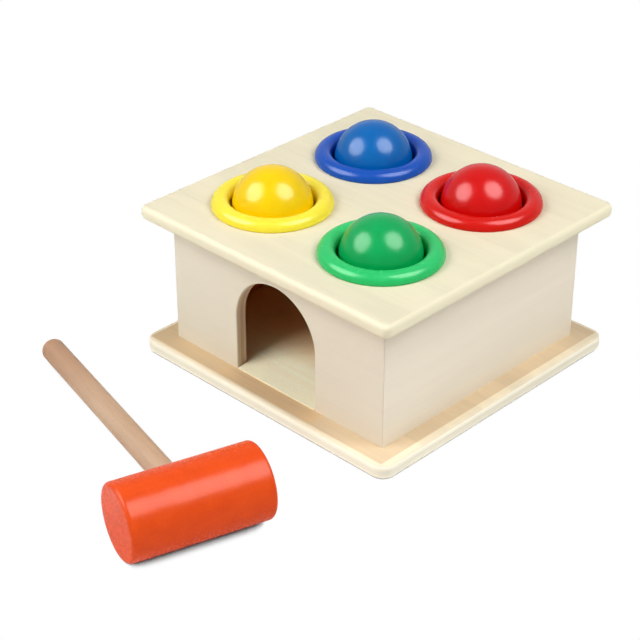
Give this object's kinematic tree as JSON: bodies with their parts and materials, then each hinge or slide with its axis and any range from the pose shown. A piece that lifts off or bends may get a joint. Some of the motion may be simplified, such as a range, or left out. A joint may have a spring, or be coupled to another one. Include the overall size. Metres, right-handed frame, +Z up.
{
  "type": "ball pounding bench",
  "caption": "Square wooden pounding bench: coloured balls held in flexible collars in the top board drop on a ramp and roll out of an arched doorway; with a mallet.",
  "frame": {"origin": "centre of the base board's underside, where the bench stands on the floor", "axes": "+Z up, -Y out of the arched doorway in the front wall, +X to the right as seen facing that doorway"},
  "size_m": [0.2153, 0.3274, 0.1151],
  "materials": {
    "board_wood": "pale birch plywood, satin clear lacquer, fine grain",
    "ramp_wood": "plain birch board, thin clear lacquer",
    "dowel_wood": "bare beech, glued in",
    "steel": "zinc-plated",
    "collar_blue": "flexible moulded blue, semi-gloss",
    "collar_yellow": "flexible moulded yellow, semi-gloss",
    "collar_green": "flexible moulded green, semi-gloss",
    "collar_red": "flexible moulded red, semi-gloss",
    "ball_blue": "blue gloss enamel over turned wood",
    "ball_yellow": "yellow gloss enamel over turned wood",
    "ball_green": "green gloss enamel over turned wood",
    "ball_red": "red gloss enamel over turned wood",
    "mallet_paint": "orange-red satin enamel over turned wood",
    "handle_wood": "natural beech, satin clear lacquer"
  },
  "bodies": {
    "bench": {"base_board": "board_wood", "top_board": "board_wood", "front_panel": "board_wood", "rear_panel": "board_wood", "left_panel": "board_wood", "right_panel": "board_wood", "ramp_board": "ramp_wood", "ramp_wedge_left": "ramp_wood", "ramp_wedge_right": "ramp_wood", "ramp_brads": "steel", "base_screws": "steel", "top_dowels": "dowel_wood", "collar_blue": "collar_blue", "collar_yellow": "collar_yellow", "collar_green": "collar_green", "collar_red": "collar_red"},
    "ball_blue": {"ball_blue": "ball_blue"},
    "ball_yellow": {"ball_yellow": "ball_yellow"},
    "ball_green": {"ball_green": "ball_green"},
    "ball_red": {"ball_red": "ball_red"},
    "mallet": {"mallet_head": "mallet_paint", "mallet_handle": "handle_wood"}
  },
  "joints": [
    {"name": "ball_blue_slide", "type": "slide", "parent": "bench", "child": "ball_blue", "axis": [0, 0, 1], "range_m": [-0.03905, 0.04], "deforming": ["collar_blue"]},
    {"name": "ball_yellow_slide", "type": "slide", "parent": "bench", "child": "ball_yellow", "axis": [0, 0, 1], "range_m": [-0.05333, 0.04], "deforming": ["collar_yellow"]},
    {"name": "ball_green_slide", "type": "slide", "parent": "bench", "child": "ball_green", "axis": [0, 0, 1], "range_m": [-0.05333, 0.04], "deforming": ["collar_green"]},
    {"name": "ball_red_slide", "type": "slide", "parent": "bench", "child": "ball_red", "axis": [0, 0, 1], "range_m": [-0.03905, 0.04], "deforming": ["collar_red"]},
    {"name": "mallet_lift", "type": "slide", "parent": "bench", "child": "mallet", "axis": [0, 0, 1], "range_m": [0, 0.125]}
  ]
}
